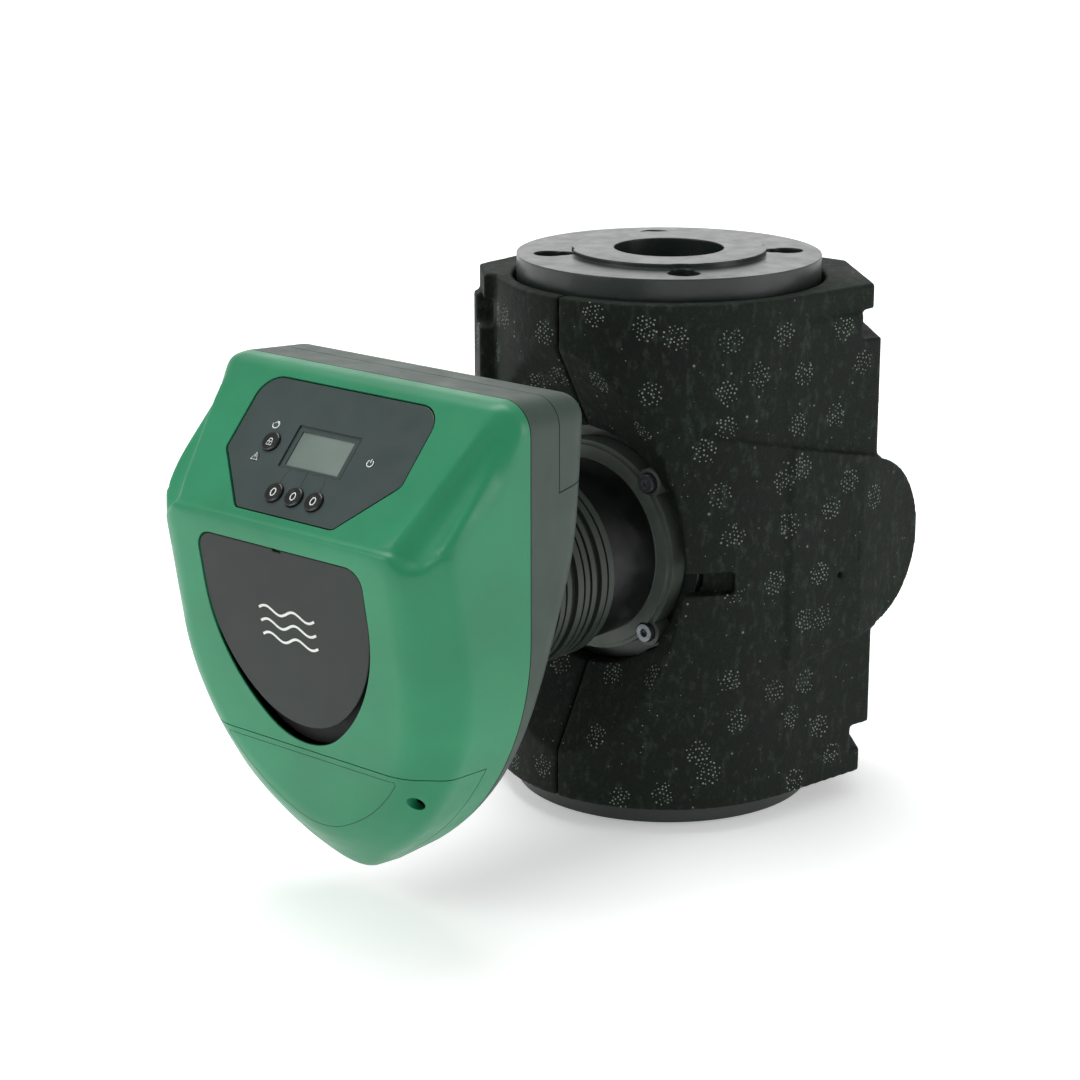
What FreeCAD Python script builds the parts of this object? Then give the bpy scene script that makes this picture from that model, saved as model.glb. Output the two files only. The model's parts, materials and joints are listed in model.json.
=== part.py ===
import FreeCAD, Part
import math
import os

# Wet-rotor circulator pump for a heating pipe, in millimetres.
# The pipe runs along Z, the motor and the control head point along -Y, and +X is to the right
# of someone who faces the head. The origin is the centre of the lower flange's sealing face.

V = FreeCAD.Vector

# --- Pump body and flanges -------------------------------------------------------------------
port_length = 340.0
motor_z = 169.0
port_radius = 33.5
flange_radius = 92.5
flange_thickness = 19.0
raised_face_radius = 59.0
raised_face_height = 3.0
bolt_circle_radius = 72.5
lower_hole_radius = 9.5
upper_hole_radius = 9.75
inner_bolt_circle_radius = 65.0
inner_hole_radius = 7.0
washer_radius = 15.0
neck_radius = 42.0
drum_radius = 85.0
drum_rim_radius = 74.0
drum_front = -62.0
drum_shoulder = -48.0
drum_rear = 56.0
volute_radius = 73.0
volute_front = -47.0
volute_rear = -14.0
eye_radius = 27.0
diagonals = (45.0, 135.0, 225.0, 315.0)

# --- Motor -----------------------------------------------------------------------------------
spigot_radius = 60.0
motor_flange_front = -75.0
motor_flange_rear = -63.0
motor_collar_radius = 62.0
motor_ear_circle = 65.0
motor_ear_radius = 8.5
barrel_radius = 54.0
barrel_bore = 49.0
rib_radius = 58.0
ribs_rear = -121.0
motor_end = -176.0
shaft_radius = 6.0
rotor_radius = 26.0
can_inner_radius = 27.4
can_outer_radius = 28.2
stator_bore = 28.6
stator_radius = 49.0
stator_front = -84.0
stator_end = -148.0
tooth_count = 9
blade_count = 6

# --- Insulation shells -----------------------------------------------------------------------
shell_bottom = 15.4
shell_top = 324.6
shell_front_radius = 105.0
shell_flange_gap = 2.5
shell_split_gap = 0.5
shell_opening_radius = 73.0
shell_opening_y = -76.0
ear_side = 121.0
groove_height = 17.0
lip_height = 15.6
ear_centre = (46.0, 164.5, 53.8)
slot_z = 157.5

# --- Control head ----------------------------------------------------------------------------
seam_y = -257.0
wall = 3.0
head_half_width = 112.0
head_top = 304.5
head_corner = 17.5
bend_z = 177.0
bend_radius = 160.0
turn = math.radians(57.0)
tip_radius = 27.5
front_draft = 7.0
rear_draft = 4.5
slope_point = V(0, -291.0, 278.8)
slope_angle = 47.4
front_point = V(0, -336.0, 234.0)
front_angle = 99.65
front_half_width = 83.0
front_level = -70.0
front_upper_radius = 189.0
front_lower_radius = 118.0
front_tip_radius = 43.4
front_top_angle = 22.0
front_low_angle = 62.0
bevel_depth = 70.0
bevel_slope = 1.5
trim_bend = -42.6
trim_level = -2.4
terminal_seam_z = 104.0
cap_front_y = -232.0
cap_bottom_z = 252.0
neck_outer = 50.0
neck_inner = 44.0
neck_floor = 6.0
board_y = -247.2
panel_thickness = 3.0
panel_corners = [(-65.5, 25.4), (-65.5, -22.0), (-36.0, -54.5), (36.0, -54.5), (65.5, -22.0),
                 (65.5, 25.4)]
panel_rounds = [14.0, 5.0, 4.0, 4.0, 5.0, 14.0]
button_radius = 5.6
button_spots = {"button_left": (-15.0, -42.1), "button_middle": (0.0, -42.1),
                "button_right": (15.0, -42.1), "button_lock": (-36.5, -13.6)}
lamp_spots = ((-40.0, -3.0), (-42.0, -24.0), (37.6, -13.3))
cover_screw_x = 70.5
cover_screw_z = 87.5
cover_post_radius = 4.2
gland_z = 92.0
gland_spots = ((-52.0, 10.0), (-20.0, 8.0))
joint_gap = 0.25

nodes = {}


def box(x, y, z):
    return Part.makeBox(x[1] - x[0], y[1] - y[0], z[1] - z[0], V(x[0], y[0], z[0]))


def rod(radius, start, end):
    axis = V(*end) - V(*start)
    return Part.makeCylinder(radius, axis.Length, V(*start), axis)


def cone(start_radius, end_radius, start, end):
    axis = V(*end) - V(*start)
    return Part.makeCone(start_radius, end_radius, axis.Length, V(*start), axis)


def ball(radius, centre):
    return Part.makeSphere(radius, V(*centre))


def on_motor_axis(radius, y0, y1, x=0.0, z=0.0):
    """A cylinder along Y, placed from the motor axis by x and z."""
    return rod(radius, (x, y0, motor_z + z), (x, y1, motor_z + z))


def motor_tube(outer, inner, y0, y1):
    return on_motor_axis(outer, y0, y1).cut(on_motor_axis(inner, y0 - 1, y1 + 1))


def around(radius, angle):
    """The x and z of a point at an angle on a circle."""
    return radius * math.cos(math.radians(angle)), radius * math.sin(math.radians(angle))


def join(shapes):
    shapes = list(shapes)
    return shapes[0].multiFuse(shapes[1:]).removeSplitter() if len(shapes) > 1 else shapes[0]


def group(shapes):
    return Part.makeCompound(list(shapes))


def profile_prism(points, x0, x1):
    """A closed outline of (y, z) points, pushed along X."""
    corners = [V(x0, y, z) for y, z in points]
    face = Part.Face(Part.makePolygon(corners + corners[:1]))
    return face.extrude(V(x1 - x0, 0, 0))


def plan_prism(points, z0, z1):
    """A closed outline of (x, y) points, pushed along Z."""
    corners = [V(x, y, z0) for x, y in points]
    face = Part.Face(Part.makePolygon(corners + corners[:1]))
    return face.extrude(V(0, 0, z1 - z0))


def beyond(point, normal, size=400.0):
    """A large block on the far side of a plane, for cutting."""
    block = Part.makeBox(size, size, size, V(-size / 2, -size / 2, 0))
    block.Placement = FreeCAD.Placement(V(*point), FreeCAD.Rotation(V(0, 0, 1), V(*normal)))
    return block


def on_slope(shape):
    """Local x, y, z become X, up the sloping face, and out of it."""
    frame = FreeCAD.Placement(slope_point, FreeCAD.Rotation(V(1, 0, 0), slope_angle))
    shape.Placement = frame.multiply(shape.Placement)
    return shape


def on_front(shape):
    """Local x, y, z become X, up the lower front face, and out of it."""
    frame = FreeCAD.Placement(front_point, FreeCAD.Rotation(V(1, 0, 0), front_angle))
    shape.Placement = frame.multiply(shape.Placement)
    return shape


def on_head_plane(shape, y):
    """Local x, y, z become X, Z, and forwards out of the head."""
    shape.Placement = FreeCAD.Placement(V(0, y, 0), FreeCAD.Rotation(V(1, 0, 0), 90))
    return shape


# --- Pump body -------------------------------------------------------------------------------

def flange(face_z, inward, hole_radius):
    """One pipe flange: a raised face, and holes that also take bolts on a smaller circle."""
    plate_z = face_z + inward * raised_face_height
    back_z = plate_z + inward * flange_thickness
    body = join([rod(raised_face_radius, (0, 0, face_z), (0, 0, plate_z + inward)),
                 rod(flange_radius, (0, 0, plate_z), (0, 0, back_z))])
    for angle in diagonals:
        x, y = around(bolt_circle_radius, angle)
        inner_x, inner_y = around(inner_bolt_circle_radius, angle)
        hole = rod(hole_radius, (x, y, face_z), (x, y, back_z + inward))
        inner_hole = rod(inner_hole_radius, (inner_x, inner_y, face_z), (inner_x, inner_y, back_z + inward))
        body = body.cut(hole.fuse(inner_hole)).cut(rod(washer_radius, (x, y, face_z), (x, y, plate_z)))
    return body


def pump_body():
    z = motor_z
    solid = join([flange(0, 1, lower_hole_radius), flange(port_length, -1, upper_hole_radius),
                  rod(neck_radius, (0, 0, 20), (0, 0, port_length - 20)),
                  cone(60, neck_radius, (0, 0, 21), (0, 0, 40)),
                  cone(60, neck_radius, (0, 0, port_length - 21), (0, 0, port_length - 40)),
                  on_motor_axis(drum_rim_radius, drum_front, drum_shoulder),
                  on_motor_axis(drum_radius, drum_shoulder, drum_rear - 14),
                  on_motor_axis(drum_radius - 6, drum_rear - 14, drum_rear)])
    inlet = join([rod(port_radius, (0, 0, -1), (0, 0, 92)), ball(port_radius, (0, 0, 92)),
                  rod(30, (0, 0, 92), (0, 20, z - 16)), ball(30, (0, 20, z - 16)),
                  on_motor_axis(eye_radius, 20, volute_rear - 1)])
    outlet = join([rod(port_radius, (0, 0, 258), (0, 0, port_length + 1)),
                   ball(port_radius, (0, 0, 258)),
                   rod(15, (0, -30, z + 52), (0, 0, 258))])
    chamber = join([on_motor_axis(volute_radius, volute_front, volute_rear),
                    on_motor_axis(spigot_radius, drum_front - 1, volute_front),
                    on_motor_axis(33, volute_rear - 1, -6)])
    solid = solid.cut(inlet).cut(outlet).cut(chamber)
    for angle in diagonals:
        x, z_off = around(motor_ear_circle, angle)
        solid = solid.cut(on_motor_axis(3.0, drum_front - 1, -50, x, z_off))
    return solid


def wear_ring():
    return motor_tube(33, 29.2, -14, -6)


# --- Rotor -----------------------------------------------------------------------------------

def blade(angle):
    """One backward-curved blade between the two shrouds."""
    inner, middle, outer = around(24, angle), around(40, angle - 26), around(55, angle - 44)
    thick = 2.2
    y0, y1 = -41.0, -19.5
    centre_line = Part.Arc(V(inner[0], y0, motor_z + inner[1]), V(middle[0], y0, motor_z + middle[1]),
                           V(outer[0], y0, motor_z + outer[1])).toShape()
    offset = around(thick, angle + 60)
    strip = centre_line.extrude(V(offset[0], 0, offset[1]))
    return strip.extrude(V(0, y1 - y0, 0))


def impeller():
    rear_shroud = on_motor_axis(56, -44, -41)
    front_shroud = on_motor_axis(56, -19.5, -17).cut(on_motor_axis(26, -21, -16))
    neck = motor_tube(28.9, 26, -17, -7)
    hub = on_motor_axis(12, -45, -29)
    solid = join([rear_shroud, hub, front_shroud, neck]
                 + [blade(i * 360.0 / blade_count) for i in range(blade_count)])
    return solid.cut(on_motor_axis(shaft_radius, -60, -20))


def rotor_shaft():
    return join([on_motor_axis(shaft_radius, -157, -29), on_motor_axis(4, -29, -24)])


def impeller_nut():
    nut = Part.Face(Part.makePolygon(
        [V(*(around(8, i * 60)[0], -29, motor_z + around(8, i * 60)[1])) for i in range(7)]))
    return nut.extrude(V(0, 4.5, 0)).cut(on_motor_axis(4, -30, -20))


def rotor_magnet():
    return motor_tube(rotor_radius, shaft_radius, -144, -80)


def thrust_ring():
    return motor_tube(10, shaft_radius, -79.5, -73.5)


# --- Motor -----------------------------------------------------------------------------------

def bearing_plate():
    solid = join([on_motor_axis(59.8, drum_front, -50), on_motor_axis(18, -72, -49)])
    groove = motor_tube(61, 57.5, -58.5, -54.5)
    for x, z_off in (around(36, angle) for angle in (0, 90, 180, 270)):
        solid = solid.cut(on_motor_axis(3, -63, -49, x, z_off))
    return solid.cut(on_motor_axis(12, -73, -48)).cut(groove)


def body_o_ring():
    return Part.makeTorus(58.75, 1.2, V(0, -56.5, motor_z), V(0, 1, 0))


def shaft_bearing(y0, y1):
    return motor_tube(12, shaft_radius + 0.05, y0, y1)


def rotor_can():
    tube = motor_tube(can_outer_radius, can_inner_radius, -160, -62)
    rim = motor_tube(59.5, can_inner_radius, -63, -62)
    end = on_motor_axis(can_outer_radius, -161, -160)
    return join([tube, rim, end])


def rear_bearing_carrier():
    return motor_tube(can_inner_radius, 12, -160, -147)


def stator_core():
    yoke = motor_tube(stator_radius, 42, stator_end, stator_front)
    depth = stator_front - stator_end
    teeth = []
    for i in range(tooth_count):
        tooth = box((0, 43), (stator_end, stator_end + depth), (motor_z - 5, motor_z + 5))
        tooth.rotate(V(0, 0, motor_z), V(0, 1, 0), i * 360.0 / tooth_count)
        teeth.append(tooth)
    return join([yoke] + teeth).cut(on_motor_axis(stator_bore, stator_end - 1, stator_front + 1))


def stator_coils():
    coils = []
    for i in range(tooth_count):
        coil = box((31, 40.5), (stator_end - 4.5, stator_front + 4.5), (motor_z - 8.6, motor_z + 8.6))
        coil = coil.cut(box((30, 42), (stator_end, stator_front), (motor_z - 5, motor_z + 5)))
        coil.rotate(V(0, 0, motor_z), V(0, 1, 0), i * 360.0 / tooth_count)
        coils.append(coil)
    return group(coils)


def motor_casing():
    solids = [on_motor_axis(64.5, motor_flange_front, motor_flange_rear),
              on_motor_axis(motor_collar_radius, motor_flange_front - 2.5, motor_flange_rear),
              on_motor_axis(barrel_radius, ribs_rear, motor_flange_rear),
              on_motor_axis(rib_radius - 3, motor_end, ribs_rear + 1)]
    for angle in diagonals:
        x, z_off = around(motor_ear_circle, angle)
        solids.append(on_motor_axis(motor_ear_radius, motor_flange_front, motor_flange_rear, x, z_off))
    for y0, width in ((-126.0, 5.0), (-132.5, 5.0), (-141.0, 4.0), (-147.0, 4.0), (-153.5, 5.0),
                      (-163.0, 4.0), (-168.5, 4.0), (-174.0, 4.0)):
        solids.append(on_motor_axis(rib_radius, y0, y0 + width))
    solid = join(solids).cut(on_motor_axis(barrel_bore, -170, motor_flange_rear + 1))
    solid = solid.cut(on_motor_axis(12, motor_end - 1, -169))
    for angle in diagonals:
        x, z_off = around(30, angle)
        solid = solid.cut(on_motor_axis(2.2, motor_end - 1, -169, x, z_off))
    for angle in diagonals:
        x, z_off = around(motor_ear_circle, angle)
        solid = solid.cut(on_motor_axis(3.4, -90, -60, x, z_off))
        solid = solid.cut(on_motor_axis(6.2, -90, motor_flange_front + 1.5, x, z_off))
    return solid


def socket_screw(radius, head_radius, head_height, head_y, tip_y, x, z):
    """A cap screw along Y whose head faces forwards."""
    screw = join([rod(head_radius, (x, head_y - head_height, z), (x, head_y, z)),
                  rod(radius, (x, head_y, z), (x, tip_y, z))])
    return screw.cut(rod(radius * 0.85, (x, head_y - head_height - 1, z), (x, head_y - 1.5, z)))


def motor_screws():
    screws = []
    for angle in diagonals:
        x, z_off = around(motor_ear_circle, angle)
        screws.append(socket_screw(3.0, 5.4, 5.0, motor_flange_front + 1.5, -51, x, motor_z + z_off))
    return group(screws)


# --- Control head ----------------------------------------------------------------------------

def shield(half_width, top, corner, bend, radius, angle, tip):
    """A closed outline: flat top, round corners, straight sides that bend in to a round tip."""
    c, s = math.cos(angle), math.sin(angle)
    hub = half_width - radius
    bend_end = V(hub + radius * c, bend - radius * s, 0)
    run = (bend_end.x - tip * c) / s
    tip_start = V(tip * c, bend_end.y - run * c, 0)
    bottom = V(0, tip_start.y + tip * s - tip, 0)
    half = math.sqrt(0.5)
    points = [V(half_width - corner, top, 0),
              V(half_width - corner + corner * half, top - corner + corner * half, 0),
              V(half_width, top - corner, 0), V(half_width, bend, 0),
              V(hub + radius * math.cos(angle / 2), bend - radius * math.sin(angle / 2), 0),
              bend_end, tip_start]
    flip = [V(-p.x, p.y, 0) for p in points]
    edges = [Part.Arc(*points[0:3]).toShape(), Part.LineSegment(points[2], points[3]).toShape(),
             Part.Arc(*points[3:6]).toShape(), Part.LineSegment(points[5], points[6]).toShape(),
             Part.Arc(points[6], bottom, flip[6]).toShape(),
             Part.LineSegment(flip[6], flip[5]).toShape(), Part.Arc(flip[5], flip[4], flip[3]).toShape(),
             Part.LineSegment(flip[3], flip[2]).toShape(), Part.Arc(flip[2], flip[1], flip[0]).toShape(),
             Part.LineSegment(flip[0], points[0]).toShape()]
    return Part.Wire(edges)


def head_outline(inset):
    return shield(head_half_width - inset, head_top - inset, head_corner - inset, bend_z,
                  bend_radius - inset, turn, tip_radius - inset)


def head_block(y0, inset0, y1, inset1):
    """The head's outline lofted between two depths, each with its own inset."""
    return Part.makeLoft([on_head_plane(head_outline(inset0), y0),
                          on_head_plane(head_outline(inset1), y1)], True, True)


def rounded_outline(corners, radii):
    """A closed outline of (x, y) corners, each with its own round."""
    edges = []
    count = len(corners)
    starts, ends = [], []
    for i, radius in enumerate(radii):
        here = V(*corners[i], 0)
        before = (V(*corners[i - 1], 0) - here).normalize()
        after = (V(*corners[(i + 1) % count], 0) - here).normalize()
        half_angle = before.getAngle(after) / 2
        reach = radius / math.tan(half_angle)
        middle = (before + after).normalize()
        starts.append(here + before * reach)
        ends.append(here + after * reach)
        arc_middle = here + middle * (radius / math.sin(half_angle) - radius)
        edges.append((Part.Arc(starts[-1], arc_middle, ends[-1]).toShape(), i))
    wire = []
    for arc, i in edges:
        wire.append(arc)
        wire.append(Part.LineSegment(ends[i], starts[(i + 1) % count]).toShape())
    return Part.Wire(wire)


def front_outline(grow):
    """The lower front face's outline: wide side arcs, tighter lower arcs and a round tip."""
    upper, lower, tip = front_upper_radius + grow, front_lower_radius + grow, front_tip_radius + grow
    hub = front_half_width - front_upper_radius
    low_hub = front_half_width - front_lower_radius
    top = math.radians(front_top_angle)
    low = math.radians(front_low_angle)
    tip_y = front_level - (front_lower_radius - front_tip_radius) * math.sin(low)
    points = [V(hub + upper * math.cos(a), front_level + upper * math.sin(a), 0)
              for a in (top, top / 2, 0.0)]
    points += [V(low_hub + lower * math.cos(a), front_level - lower * math.sin(a), 0)
               for a in (low / 2, low)]
    flip = [V(-p.x, p.y, 0) for p in points]
    edges = [Part.Arc(*points[0:3]).toShape(), Part.Arc(*points[2:5]).toShape(),
             Part.Arc(points[4], V(0, tip_y - tip, 0), flip[4]).toShape(),
             Part.Arc(flip[4], flip[3], flip[2]).toShape(), Part.Arc(flip[2], flip[1], flip[0]).toShape(),
             Part.LineSegment(flip[0], points[0]).toShape()]
    return Part.Wire(edges)


def front_bulge(inset):
    """The raised lower front: its flat face, and the wide bevels that run back from it."""
    near = front_outline(-inset * 0.5)
    far = front_outline(bevel_depth * bevel_slope - inset * 0.5)
    near.translate(V(0, 0, -inset))
    far.translate(V(0, 0, -inset - bevel_depth))
    return on_front(Part.makeLoft([near, far], True, True))


def head_front_block(inset):
    """Everything in front of the seam, as a solid."""
    block = head_block(seam_y + (0.01 if inset else 0.0), inset, -350.0, inset + front_draft)
    lower = block.common(front_bulge(inset)).common(box((-150, 150), (-360, -250), (0, 234)))
    upper = block.common(box((-150, 150), (-360, -250), (234, 320)))
    slope_normal = (0, -0.736, 0.677)
    upper = upper.cut(beyond((0, -291 + 0.736 * inset, 278.8 - 0.677 * inset), slope_normal))
    for side in (-1, 1):
        bevel = V(side * 1.0, -1.0, 0.92)
        bevel.normalize()
        point = V(side * 99.5, -291, 278.8) - bevel * inset
        upper = upper.cut(beyond(tuple(point), tuple(bevel)))
        corner = V(side * 678.0, -1216.0, 481.0)
        corner.normalize()
        point = V(side * 70, -332.2, 234.0) - corner * inset
        upper = upper.cut(beyond(tuple(point), tuple(corner)))
    return upper.fuse(lower).removeSplitter()


def head_rear_block(inset):
    """Everything behind the seam, as a solid: deep at the top and shallow at the bottom."""
    block = head_block(seam_y - (1.0 if inset else 0.0), inset, -196.0, inset + rear_draft)
    shift = -inset
    back = [(-202, 330), (-204, 300), (-209, 262), (-221, 222), (-233, 180), (-240, 130), (-244, 60),
            (-246, 0)]
    curve = Part.BSplineCurve()
    curve.interpolate([V(-150, y + shift, z) for y, z in back])
    far_top, far_bottom = V(-150, -150, 330), V(-150, -150, 0)
    start, end = V(-150, back[0][0] + shift, 330), V(-150, back[-1][0] + shift, 0)
    wire = Part.Wire([curve.toShape(), Part.LineSegment(end, far_bottom).toShape(),
                      Part.LineSegment(far_bottom, far_top).toShape(),
                      Part.LineSegment(far_top, start).toShape()])
    return block.cut(Part.Face(wire).extrude(V(300, 0, 0)))


def cap_zone(grow):
    """The region of the upper rear cap."""
    return profile_prism([(cap_front_y - grow, 330), (cap_front_y - grow, cap_bottom_z - grow),
                          (-190, cap_bottom_z + 5 - grow), (-190, 330)], -150, 150)


def panel_solid(grow, bottom, top):
    corners = [(x + math.copysign(grow, x), y + (grow if y > 0 else -grow)) for x, y in panel_corners]
    face = Part.Face(rounded_outline(corners, panel_rounds))
    solid = face.extrude(V(0, 0, top - bottom))
    solid.translate(V(0, 0, bottom))
    return solid


def trim_outline(half_width, top, bend, radius):
    """A shield whose bend runs straight into its round tip."""
    angle = math.radians(50)
    tip = (half_width - radius + radius * math.cos(angle)) / math.cos(angle)
    return shield(half_width, top, 11.0, bend, radius, angle, tip * 0.98)


def trim_prism(half_width, top, radius, low, high):
    """The shield's solid between two levels of the lower front face."""
    face = Part.Face(trim_outline(half_width, top, trim_bend, radius))
    solid = face.extrude(V(0, 0, high - low))
    solid.translate(V(0, 0, low))
    return on_front(solid)


def front_shell():
    return head_front_block(0).cut(head_front_block(wall))


def front_cover(shell):
    """The green cover, with the display's opening, the plate's pocket and a crescent finger gap."""
    solid = shell.cut(box((-150, 150), (-360, -240), (0, terminal_seam_z + joint_gap)))
    solid = solid.cut(on_slope(panel_solid(0.4, -8, 5)))
    floor = trim_prism(64.5, -9.5, 100.0, -7.0, trim_level)
    solid = solid.fuse(floor).removeSplitter()
    solid = solid.cut(trim_prism(62.4, -11.6, 98.0, trim_level, 5))
    crescent = trim_prism(62.4, -11.6, 98.0, -5.5, 5).cut(trim_prism(61.0, -11.6, 80.0, -6.0, 6))
    return solid.cut(crescent)


def terminal_cover(shell):
    """The lower green cover, with a screw seat near each side."""
    solid = shell.common(box((-150, 150), (-360, -240), (0, terminal_seam_z - joint_gap)))
    for side in (-1, 1):
        x = side * cover_screw_x
        seat = rod(6.2, (x, -300, cover_screw_z), (x, -286, cover_screw_z))
        solid = solid.fuse(seat.common(head_front_block(0)))
        solid = solid.cut(rod(4.2, (x, -320, cover_screw_z), (x, -292, cover_screw_z)))
        solid = solid.cut(rod(2.2, (x, -320, cover_screw_z), (x, -280, cover_screw_z)))
    return solid


def terminal_cover_screws():
    return group(socket_screw(2.0, 3.8, 3.5, -292.2, -262, side * cover_screw_x, cover_screw_z)
                 for side in (-1, 1))


def rear_shell():
    return head_rear_block(0).cut(head_rear_block(wall))


def rear_housing_and_terminal_box(shell):
    """The grey box behind the seam: bulkhead, neck onto the motor, board and cover posts.

    Below the terminal cover's seam it is a moulding of its own, the terminal box, which carries
    the cable glands and the terminal cover's posts. The two meet face to face.
    """
    inner = head_rear_block(wall)
    solid = shell.cut(cap_zone(joint_gap))
    bulkhead = head_rear_block(wall).common(box((-150, 150), (-235.2, -232.5), (240, 320)))
    foot = head_rear_block(wall).common(box((-150, 150), (-235.2, -200), (248.5, 251.3)))
    neck = on_motor_axis(neck_outer, motor_end, -240).cut(inner)
    posts = []
    for side in (-1, 1):
        x = side * cover_screw_x
        posts.append(rod(cover_post_radius, (x, -262, cover_screw_z), (x, -240, cover_screw_z)))
        for z in (132, 226):
            post = rod(4, (side * 76, board_y, z), (side * 76, -205, z))
            posts.append(post.common(head_rear_block(1.0)))
    solid = join([solid, bulkhead, foot, neck] + posts)
    solid = solid.cut(on_motor_axis(neck_inner, -250, motor_end - neck_floor))
    solid = solid.cut(on_motor_axis(12, motor_end - neck_floor - 1, motor_end + 1))
    for angle in diagonals:
        x, z_off = around(30, angle)
        solid = solid.cut(on_motor_axis(2.4, motor_end - neck_floor - 1, motor_end + 1, x, z_off))
    for side in (-1, 1):
        solid = solid.cut(rod(2.0, (side * cover_screw_x, -263, cover_screw_z),
                              (side * cover_screw_x, -246, cover_screw_z)))
    for x, radius in gland_spots:
        solid = solid.cut(rod(radius, (x, -250, gland_z), (x, -230, gland_z)))
    below_seam = box((-150, 150), (-300, -150), (0, terminal_seam_z))
    return solid.cut(below_seam), solid.common(below_seam)


def rear_cap(shell):
    return shell.common(cap_zone(-joint_gap))


def cable_glands():
    glands = []
    for x, radius in gland_spots:
        corners = [around(radius + 4, i * 60) for i in range(7)]
        nut_face = Part.Face(Part.makePolygon([V(x + across, -241, gland_z + up) for across, up in corners]))
        body = nut_face.extrude(V(0, 7, 0))
        dome = cone(radius + 2, radius - 1, (x, -234, gland_z), (x, -220, gland_z))
        thread = rod(radius - 0.2, (x, -246.1, gland_z), (x, -241, gland_z))
        bore = rod(radius - 3.5, (x, -250, gland_z), (x, -219, gland_z))
        glands.append(join([body, dome, thread]).cut(bore))
    return group(glands)


def cover_seal():
    """A soft cord in the corner of the seam, all the way round."""
    outer = head_block(-257.0, wall + 0.35, -253.5, wall + 0.35)
    inner = head_block(-258.0, wall + 2.8, -252.5, wall + 2.8)
    return outer.cut(inner)


def display_panel():
    solid = panel_solid(0.0, -panel_thickness - 0.4, -0.4)
    solid = solid.cut(box((-19.6, 19.6), (-24.4, -3.3), (-10, 10)))
    frame_recess = box((-23.4, 23.4), (-26.4, 0.0), (-1.2, 5))
    solid = solid.cut(frame_recess)
    for x, y in button_spots.values():
        solid = solid.cut(rod(button_radius + 0.35, (x, y, -10), (x, y, 5)))
    for x, y in lamp_spots:
        solid = solid.cut(rod(2.6, (x, y, -10), (x, y, 5)))
    return on_slope(solid)


def lcd_window():
    return on_slope(box((-19.6, 19.6), (-24.4, -3.3), (-3.4, -1.8)))


def lcd_module():
    return on_slope(box((-24.0, 24.0), (-28.0, 1.0), (-12.4, -3.4)))


def display_board():
    return on_slope(box((-48, 48), (-50, 18), (-14.0, -12.4)))


def button(x, y):
    cap = rod(button_radius, (x, y, -3.2), (x, y, 1.2))
    flange_ring = rod(button_radius + 1.4, (x, y, -5.2), (x, y, -4.6))
    stem = rod(2.0, (x, y, -8.2), (x, y, -3.2))
    neck = rod(button_radius, (x, y, -5.2), (x, y, -3.2))
    return on_slope(join([cap, neck, flange_ring, stem]))


def button_switches():
    return group(on_slope(box((x - 3, x + 3), (y - 3, y + 3), (-12.4, -9.8)))
                 for x, y in button_spots.values())


def status_lamps():
    return group(on_slope(rod(2.4, (x, y, -12.4), (x, y, -0.3))) for x, y in lamp_spots)


def trim_plate():
    plate = trim_prism(61.8, -12.2, 82.0, trim_level, trim_level + 2.0)
    notch = on_front(box((-3, 3), (-13.6, -10), (-5, 5)))
    return plate.cut(notch)


def main_board():
    y = (board_y - 1.6, board_y)
    return join([box((-86, 86), y, (118, 284)), box((-40, 40), y, (66, 119))])


def capacitors():
    spots = ((-50, 150), (-18, 150), (14, 150))
    return group(rod(13, (x, -286, z), (x, board_y - 1.6, z)) for x, z in spots)


def choke():
    return Part.makeTorus(15, 6.5, V(56, board_y - 8.3, 158), V(0, 1, 0))


def power_module():
    return box((-40, 40), (board_y, -235.2), (262, 282))


def heat_sink():
    base = box((-78, 78), (-232.5, -227.5), (257.5, 297))
    fins = [box((x - 1.2, x + 1.2), (-228, -214), (259, 296)) for x in range(-72, 73, 9)]
    return join([base] + fins)


def terminal_block():
    body = box((-34, 34), (-266, board_y - 1.6), (72, 92))
    for x in range(-28, 29, 8):
        body = body.cut(rod(2.2, (x, -267, 82), (x, -260, 82)))
    return body


def housing_screws():
    screws = []
    for angle in diagonals:
        x, z_off = around(30, angle)
        screws.append(socket_screw(2.2, 4.2, 4.0, motor_end - neck_floor, motor_end + 5, x,
                                   motor_z + z_off))
    return group(screws)


# --- Insulation ------------------------------------------------------------------------------

def mirror_x(points):
    return [(-x, y) for x, y in reversed(points)]


def side_band():
    """The thick band round the motor: wide at the front, with a round ear behind each side."""
    y, z, radius = ear_centre
    profile = profile_prism([(-130, 261), (y + 12, z + radius), (y + 12, z - radius), (-130, 77)],
                            -ear_side, ear_side)
    profile = join([profile, rod(radius, (-ear_side, y, z), (ear_side, y, z))])
    right = [(0, -40), (105, -20), (109, -16), (ear_side, 40), (ear_side, 102), (98, 102), (98, 56), (0, 56)]
    left = [(0, -40), (-84, -84), (-114, -56), (-ear_side, 40), (-ear_side, 102), (-98, 102), (-98, 56),
            (0, 56)]
    limit = join([plan_prism(right, 50, 290), plan_prism(left, 50, 290),
                  rod(shell_front_radius + 2.5, (0, 0, 50), (0, 0, 290))])
    return profile.common(limit)


def shell_blank():
    """The outer form of both insulation halves together."""
    front = rod(shell_front_radius, (0, 0, shell_bottom), (0, 0, shell_top))
    lip = plan_prism([(-109, -51), (-82, -77), (-60, -60), (0, 0), (104, -18), (115.5, 52), (57, 107),
                      (-57, 107), (-115.5, 52)], shell_bottom, shell_top)
    middle = plan_prism([(-112, -53), (-83, -80), (-60, -60), (0, 0), (105, -15), (119.5, 55), (62, 110),
                         (-62, 110), (-119.5, 55)], shell_bottom + lip_height + 1,
                        shell_top - lip_height - 1)
    return join([front, lip, middle, side_band()])


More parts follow.
